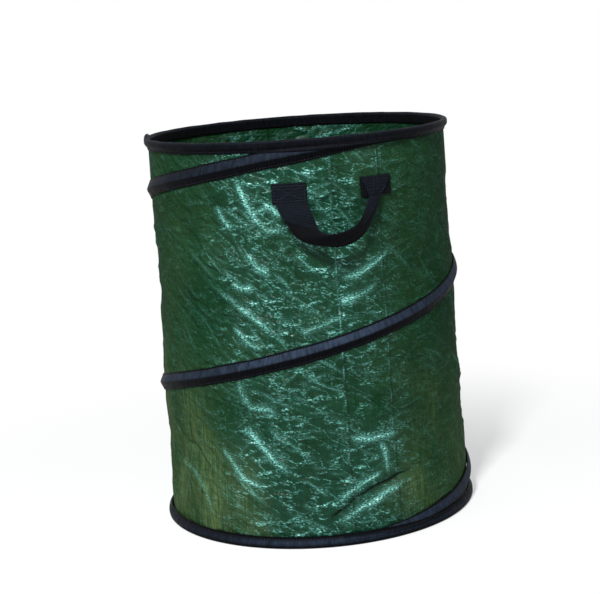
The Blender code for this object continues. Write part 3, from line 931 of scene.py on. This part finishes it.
def base_tape(finish, thread):
    """The base binding, flat under the bag, round the base hoop and up the wall."""
    edge = BASE_TAPE_HEIGHT
    outer_leg = (edge, BASE_WIRE_Z, 54)
    angles = all_round(TAPE_COLUMNS)
    angle, z = grid(angles, np.linspace(BASE_WIRE_Z, edge, LEG_ROWS))
    u = around_wall(angle)
    ragged = 0.0004 * ripple(51, u, z * 0, 0.030, 1.0) * smooth((z - edge + 0.006) / 0.006)
    outer = polar(cloth_radius(z) + tape_leg(angle, z, *outer_leg), angle, z + ragged)
    # Painted highlight along the tape's crown, brighter in front and behind
    crown = smooth((z - BASE_WIRE_Z) / 0.004) * smooth((edge - 0.003 - z) / 0.004)
    faded = crown * (0.22 + 0.32 * worn_side(angle))
    foot = BASE_DIAMETER / 2
    half = WIRE_OFFSET + TAPE / 2
    angle, turn = grid(angles, parts(math.pi / 2, 5))
    radius = foot + WIRE_OFFSET + half * np.sin(turn)
    corner = polar(radius, angle, BASE_WIRE_Z - half * np.cos(turn))
    angle, radius = grid(angles, np.linspace(foot - BASE_TAPE_UNDER, foot + WIRE_OFFSET * 0.8, 6))
    under = polar(radius, angle, TAPE / 2)
    points = np.concatenate([under, corner, outer], 1)
    plain = np.zeros((TAPE_COLUMNS, points.shape[1] - LEG_ROWS))
    faded = np.concatenate([plain, faded], 1)
    hoop_tape("base", points, faded, edge - STITCHED_IN, outer_leg, finish, thread)


# The sleeve and the wire as meshes, the sleeve's two seams as shares of the way across, and the
# angle at each of its ends that has no stitches
WIRE_STEPS = 1300
SLEEVE_STEPS = 2600
SLEEVE_SEAMS = (-0.80, 0.80)
UNSEWN = 0.3
SLEEVE_ROWS = (
    -1, -0.86, -0.72, -0.55, -0.38, -0.22, -0.10, 0, 0.10, 0.22, 0.38, 0.55, 0.72, 0.86, 1,
)


def sleeve_surface(wound, row):
    """Radius and height of the sleeve's middle surface, by share of the way across (-1 to 1)."""
    below, above = sleeve_reach(wound)
    reach = np.where(row > 0, above, below)
    full = smooth(np.minimum(below, above) / 0.010)
    u = (wound - COIL_START) * MEAN_RADIUS
    pucker = ripple(61, u, row, 0.0055, 0.9) + 0.8 * ripple(62, u, row, 0.013, 0.6)
    slow = ripple(63, u, row * 0, 0.045, 1.0)
    ragged = 0.0005 * full * ripple(64, u, row, 0.028, 0.5) * np.abs(row)
    from_ridge = np.clip((np.hypot(row, 0.07) - 0.07) / 0.78, 0, 1)
    crown = 2 * WIRE_OFFSET + TAPE / 2 + 0.0003 * slow
    off = TAPE_OFF + (crown - TAPE_OFF) * (1 - from_ridge) ** 0.86
    off += 0.00030 * full * pucker * smooth(np.abs(row) / 0.3)
    z = coil_height(wound) + reach * row + ragged
    return cloth_radius(z) + np.maximum(off, 0.0007), z


def coil_sleeve(finish, thread):
    """The tape channel wound round the wall over the wire, sewn down along both its edges."""
    wound, row = grid(np.linspace(COIL_START, COIL_END, SLEEVE_STEPS), SLEEVE_ROWS)
    radius, z = sleeve_surface(wound, row)
    flat = np.stack([(wound - COIL_START) * MEAN_RADIUS, row * SLEEVE_WIDTH / 2 + 0.02], -1)
    made = grid_object("wound_sleeve", polar(radius, wound, z), flat)
    # Painted light on the upper facet and a painted highlight on the crown, brighter in front and
    # behind; painted shade on the top turn under the rim
    upper = smooth((row - 0.02) / 0.1) * smooth((0.86 - row) / 0.14)
    lit = (0.55 + 0.40 * worn_side(wound)) * (1 - 0.6 * smooth((z - 0.40) / 0.07))
    store(made, faded=upper * lit + 0.3 * np.exp(-(row / 0.04) ** 2))
    thicken(made, finish, TAPE - 2 * TAPE_SLACK, 0)
    count = int(COIL_SWEEP * MEAN_RADIUS / SLEEVE_PITCH)
    middles = np.linspace(COIL_START + UNSEWN, COIL_END - UNSEWN, count)
    length = SLEEVE_STITCH / MEAN_RADIUS / 2
    starts, ends = [], []
    for share in SLEEVE_SEAMS:
        for angle, into in ((middles - length, starts), (middles + length, ends)):
            radius, z = sleeve_surface(angle, share + 0 * angle)
            into.extend(polar(radius + TAPE / 2, angle, z))
    outs = polar(1, np.tile(middles, 2), 0)
    stitches = stitch_mesh("sleeve_stitching", starts, ends, outs, thread)
    for piece in (made, stitches):
        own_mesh(piece)
        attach(piece, "base")
    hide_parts("coil_sleeve")


def coil_spring(finish):
    """The wound wire inside the sleeve, as a tube along its helix with rounded ends."""
    angles = np.linspace(COIL_START, COIL_END, WIRE_STEPS)
    centre = on_wall(angles, coil_height(angles), WIRE_OFFSET)
    run = unit(np.gradient(centre, axis=0))
    up = unit(np.cross(run, polar(1, angles, 0)))
    out = np.cross(up, run)
    turns = -math.tau * np.arange(11)[:, None] / 10
    steps = np.arange(WIRE_STEPS)
    near_end = np.clip(np.minimum(steps, steps[::-1]) / 2, 0.02, 1)
    size = WIRE_RADIUS * np.sqrt(1 - (1 - near_end) ** 2)
    ring = out[:, None] * np.cos(turns) + up[:, None] * np.sin(turns)
    points = centre[:, None] + ring * size[:, None, None]
    made = grid_object("wound_wire", points, np.zeros((*points.shape[:2], 2)))
    weld = made.modifiers.new("Weld", "WELD")
    weld.merge_threshold = 0.00001
    made.data.materials.append(finish)
    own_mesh(made)
    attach(made, "base")
    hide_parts("coil_spring")


# The webbing as a mesh; then its ribs, the radius at which it folds over itself, its narrowest,
# what its thickness is short of the solid's, and the pitch of its stitches
STRAP_STEPS = 620
STRAP_ROWS = 46
RIB_PITCH = 0.0042
SEWN_STEPS = 90
RIB_HEIGHT = 0.00018
BACKING_RIB_HEIGHT = 0.00012
WRAP = 0.0009
NARROWEST = 0.043
STRAP_SLACK = 0.0003
STRAP_PITCH = 0.0029

# Both edges of the hanging webbing, as the photograph shows them: how far along it, from the left
# sewn end (0) to the right one (1), then mm along the cloth, mm above the hinge and mm off it
LOWER_EDGE = (
    (0.0, -81, 0, 2.8), (0.08, -77, -7.5, 8.6), (0.15, -73.5, -14.5, 11.6), (0.20, -70, -21, 12.4),
    (0.24, -65, -30, 12.4), (0.29, -58, -42, 12.2), (0.36, -46.5, -51.8, 12), (0.44, -32, -57.3, 12),
    (0.54, -12, -61, 12), (0.64, 5, -60.5, 12), (0.74, 21, -55, 12), (0.83, 36, -44, 12),
    (0.92, 52, -22, 10.5), (1.0, 67.5, 0, 3.2),
)
UPPER_EDGE = (
    (0.0, -37.5, 0, 2.8), (0.06, -34.5, -11, 9.8), (0.13, -31, -22.5, 12.4), (0.19, -28, -32, 13),
    (0.22, -27, -35.5, 15), (0.27, -24.5, -38.2, 27), (0.34, -19, -39.8, 39), (0.43, -9, -39.5, 45),
    (0.54, 3, -37, 42), (0.64, 12, -34, 35), (0.74, 20, -30.5, 27), (0.83, 28.5, -24.5, 19),
    (0.92, 38, -12, 13), (1.0, 49, 0, 3.2),
)
LOWER_CORNERS = (-86, 86)
UPPER_CORNERS = (-38, 38)

# How soon along the webbing a handle is lifted over the sleeve that passes under it
LOOP_LIFT = 0.12


def along_knots(share, knots):
    """Smooth curve through knots of (share, values), as an array of values."""
    at = np.array([knot[0] for knot in knots])
    values = np.array([knot[1:] for knot in knots])
    slope = np.gradient(values, at, axis=0)
    n = np.clip(np.searchsorted(at, share, side="right") - 1, 0, len(at) - 2)
    gap = (at[n + 1] - at[n])[:, None]
    t = (share - at[n])[:, None] / gap
    bend = t * (1 - t) * gap * ((1 - t) * slope[n] - t * slope[n + 1])
    return values[n] + (values[n + 1] - values[n]) * smooth(t) + bend


def strap_edge(facing, lift, share, knots, corners):
    """Points along one edge of the webbing: straight from each sewn end's corner to its knots."""
    inner = mm(along_knots(np.clip(share, 0, 1), knots))
    sewn = np.clip(np.maximum(-share, share - 1), 0, 1)
    corner = mm(np.where(share < 0.5, *corners))
    pull = np.where(share < 0.5, smooth(sewn / 0.2), sewn)
    along = inner[:, 0] + (corner - inner[:, 0]) * pull
    z = HINGE_Z + inner[:, 1] + (SEWN_LENGTH - inner[:, 1]) * sewn
    off = inner[:, 2] + (CLEARANCE + 1.5 * WEBBING - inner[:, 2]) * sewn
    free = smooth(share * (1 - share) / LOOP_LIFT)
    return on_wall(facing + along / cloth_radius(HINGE_Z), z, off + lift * free)


def strap_surface(facing, lift, shares, rows):
    """A grid of points on the middle of the webbing, folded over where its edges come close."""
    low = strap_edge(facing, lift, shares, LOWER_EDGE, LOWER_CORNERS)
    high = strap_edge(facing, lift, shares, UPPER_EDGE, UPPER_CORNERS)
    width = np.linalg.norm(high - low, axis=1)[:, None]
    chord = (high - low) / width
    outward = unit((low + high) * (1, 1, 0))
    normal = unit(outward - (outward * chord).sum(axis=1)[:, None] * chord)
    full = np.clip(width, NARROWEST, WEBBING_WIDTH)
    folded = (full - width) / 2
    steps = np.linspace(0, 1, 12 * len(rows))
    passed = steps * full
    tight = smooth(folded / 0.0015)
    first = smooth((passed - folded) / (math.pi * WRAP) + 0.5)
    last = smooth((passed - full + folded) / (math.pi * WRAP) + 0.5)
    heading = math.pi * tight * (first - 1) + math.radians(170) * tight * last
    stride = np.diff(passed, axis=1, prepend=0)
    place = np.cumsum(np.cos(heading) * stride, axis=1)
    height = np.cumsum(np.sin(heading) * stride, axis=1)
    place -= place.min(axis=1, keepdims=True)
    height -= height[:, len(steps) // 2, None]
    bow = 0.0045 * smooth((shares - 0.23) / 0.1) * smooth((0.97 - shares) / 0.25)
    height += bow[:, None] * np.sin(math.pi * steps)
    picked = np.clip(np.round(rows * (len(steps) - 1)).astype(int), 0, len(steps) - 1)
    across = chord[:, None] * place[:, picked, None] + normal[:, None] * height[:, picked, None]
    return low[:, None] + across


def handle(prefix, facing, lift, finish, thread):
    """One length of webbing: both sewn ends and the turned loop that hangs between them."""
    shares = np.concatenate([
        np.linspace(-1, 0, SEWN_STEPS, endpoint=False),
        np.linspace(0, 1, STRAP_STEPS, endpoint=False),
        np.linspace(1, 2, SEWN_STEPS + 1),
    ])
    rows = np.linspace(0, 1, STRAP_ROWS)
    points = strap_surface(facing, lift, shares, rows)
    normal = unit(np.cross(np.gradient(points, axis=0), np.gradient(points, axis=1)))
    passed, across = grid(walked(points[:, STRAP_ROWS // 2]), rows)
    rib = ribs(passed) * smooth((0.5 - np.abs(across - 0.5)) / 0.03)
    made = grid_object(prefix + "_webbing", points + normal * (RIB_HEIGHT * rib)[..., None],
                       np.stack([across * WEBBING_WIDTH, passed], -1))
    # Painted shade under the turned band; painted highlights along its upper edge and along its fold
    beyond = shares[:, None] - 0.200 - 0.018 * across
    under = smooth(beyond / 0.02 + 0.5) * smooth((0.93 - shares) / 0.12)[:, None]
    turned = 0.8 * np.exp(-(beyond / 0.006) ** 2) * smooth(across / 0.3)
    lip = smooth((across - 0.88) / 0.06) + turned
    store(made, rib=0.5 + 0.5 * rib, faded=np.clip(1 - 0.85 * under + lip, 0, 1))
    thicken(made, finish, WEBBING - STRAP_SLACK, 0)
    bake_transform(made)
    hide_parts(prefix + "_loop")
    backings = sewn_backings(prefix, facing, finish)
    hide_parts(prefix + "_sewn_end_left", prefix + "_sewn_end_right")
    sewn_stitches(prefix, facing, lift, thread)


def ribs(passed):
    """Height of the webbing's ribs along it, from -1 to 1."""
    return np.cos(math.tau * passed / RIB_PITCH)


def sewn_backings(prefix, facing, finish):
    """The ends of the webbing, turned under and flat on the cloth."""
    across, up = grid(np.linspace(-0.5, 0.5, 12), np.linspace(0, 1, 60))
    rib = ribs(SEWN_LENGTH * up)
    off = CLEARANCE + WEBBING / 2 + BACKING_RIB_HEIGHT * rib
    flat = np.stack([WEBBING_WIDTH * (across + 0.5), SEWN_LENGTH * up + 0.3], -1)
    meshes = []
    for side in (-1, 1):
        angle = facing + (side * HANDLE_SPAN / 2 + WEBBING_WIDTH * across) / cloth_radius(HINGE_Z)
        points = on_wall(angle, HINGE_Z + SEWN_LENGTH * up, off)
        made = grid_object(prefix + "_backing", points, flat)
        store(made, rib=0.5 + 0.5 * rib, faded=0.35 + 0 * rib)
        meshes.append(made)
    kept = meshes[0]
    with bpy.context.temp_override(active_object=kept, selected_editable_objects=meshes):
        bpy.ops.object.join()
    thicken(kept, finish, WEBBING - STRAP_SLACK, 0)
    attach(kept, prefix + "_ends")
    return kept


def sewn_stitches(prefix, facing, lift, thread):
    """Stitches through the ends of the webbing: a box with a cross, and rows along the folds."""
    box = [(-0.88, 0.07), (-0.12, 0.07), (-0.12, 0.93), (-0.88, 0.93)]
    lines = [(box[n], box[(n + 1) % 4]) for n in range(4)]
    lines += [(box[0], box[2]), (box[1], box[3])]
    lines += [((1.12, row), (1.88, row)) for row in (0.12, 0.44, 0.56, 0.88)]
    starts, ends, outs = [], [], []
    for (share_0, row_0), (share_1, row_1) in lines:
        span = math.hypot((share_1 - share_0) * SEWN_LENGTH, (row_1 - row_0) * WEBBING_WIDTH)
        count = int(span / STRAP_PITCH)
        for n in range(count):
            for part, into in ((0.14, starts), (0.86, ends)):
                step = (n + part) / count
                near = share_0 + (share_1 - share_0) * step + np.array([-0.01, 0, 0.01])
                row = row_0 + (row_1 - row_0) * step
                point = strap_surface(facing, lift, near, np.array([0, row, 1]))[1, 1]
                out = unit(point * (1, 1, 0))
                into.append(point + out * (WEBBING / 2 + 0.0002))
            outs.append(out)
    made = stitch_mesh(prefix + "_stitching", starts, ends, outs, thread)
    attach(made, prefix + "_ends")


FLOOR_REACH = 6.0


def floor():
    """A plain pale floor that fades into the white background and keeps the bag's shadow."""
    finish = Finish("floor")
    finish.set(Base_Color=(0.86, 0.86, 0.85, 1), Roughness=0.9, Specular_IOR_Level=0.1)
    away = finish.node("ShaderNodeVectorMath", {0: finish.solid()}, operation="LENGTH")
    fade = finish.spread(
        away.outputs["Value"], 0.22, 0.95, 0.45, 1, interpolation_type="SMOOTHSTEP")
    finish.whiten("ShaderNodeEmission", "Material Output", fade)
    corners = FLOOR_REACH * np.array([(-1, -1, 0), (1, -1, 0), (1, 1, 0), (-1, 1, 0)])
    made = mesh_object("floor", corners, np.array([(0, 1, 2, 3)]))
    made.data.materials.append(finish.owner)


def studio():
    """White background, soft sky light, and lamps that stand where the photograph's sun stood."""
    sky = Finish("studio", "worlds", "Background")
    sky.set(Color=(0.86, 0.93, 1.0, 1), Strength=0.34)
    sky.whiten("ShaderNodeBackground", "World Output")
    bpy.context.scene.world = sky.owner
    lamp("key", -114, 46, 2.7, 0.30, 96, (0.97, 0.99, 1.0))
    lamp("left_fill", 178, 28, 2.6, 1.3, 5, (0.90, 1.0, 0.86))
    lamp("right_fill", -22, 24, 2.6, 1.3, 4, (0.92, 1.0, 0.84))
    lamp("back_fill", 90, 66, 3.0, 1.2, 8, (1.0, 1.0, 1.0))


def lamp(name, angle, elevation, distance, size, power, colour):
    """A square soft lamp that faces the middle of the bag."""
    light = bpy.data.lights.new(name, "AREA")
    light.size = size
    light.energy = power
    light.color = colour
    turn, lift = math.radians(angle), math.radians(elevation)
    level = math.cos(lift)
    away = Vector((math.cos(turn) * level, math.sin(turn) * level, math.sin(lift)))
    made = link(name, light)
    made.location = Vector((0, 0, HEIGHT / 2)) + distance * away
    made.rotation_euler = away.to_track_quat("Z", "Y").to_euler()


def camera():
    """The photograph's view: a long lens a little above the rim, turned a little on its axis."""
    lens = bpy.data.cameras.new("camera")
    lens.lens = CAMERA_LENS
    lens.shift_x, lens.shift_y = CAMERA_SHIFT
    turn = math.radians(CAMERA_AZIMUTH)
    place = Vector((
        -CAMERA_DISTANCE * math.sin(turn), -CAMERA_DISTANCE * math.cos(turn), CAMERA_HEIGHT,
    ))
    back = (place - Vector((0, 0, CAMERA_AIM))).normalized()
    right = Vector((0, 0, 1)).cross(back).normalized()
    facing = Matrix((right, back.cross(right), back)).transposed().to_4x4()
    made = link("camera", lens)
    made.matrix_world = (
        Matrix.Translation(place) @ facing @ Matrix.Rotation(-math.radians(CAMERA_ROLL), 4, "Z"))
    bpy.context.scene.camera = made


def main():
    bpy.context.scene.view_settings.view_transform = "Standard"
    cloth, tape, webbing, thread = cloth_finish(), tape_finish(), webbing_finish(), thread_finish()
    steel = steel_finish("spring_wire", (0.42, 0.42, 0.44), (0.20, 0.19, 0.18), 0.35)
    crimp = steel_finish("crimp", (0.62, 0.62, 0.64), (0.40, 0.40, 0.41), 0.40)
    for hoop in ("base_hoop", "rim_hoop"):
        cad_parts[hoop].data.materials[0] = steel
        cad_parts[hoop + "_crimp"].data.materials[0] = crimp
    wall_panel(cloth)
    base_panel(cloth)
    base_tape(tape, thread)
    rim_tape(tape, thread)
    coil_sleeve(tape, thread)
    coil_spring(steel)
    handle("front_handle", FRONT, 0, webbing, thread)
    handle("rear_handle", REAR, 2 * WIRE_OFFSET + TAPE, webbing, thread)
    floor()
    studio()
    camera()


main()
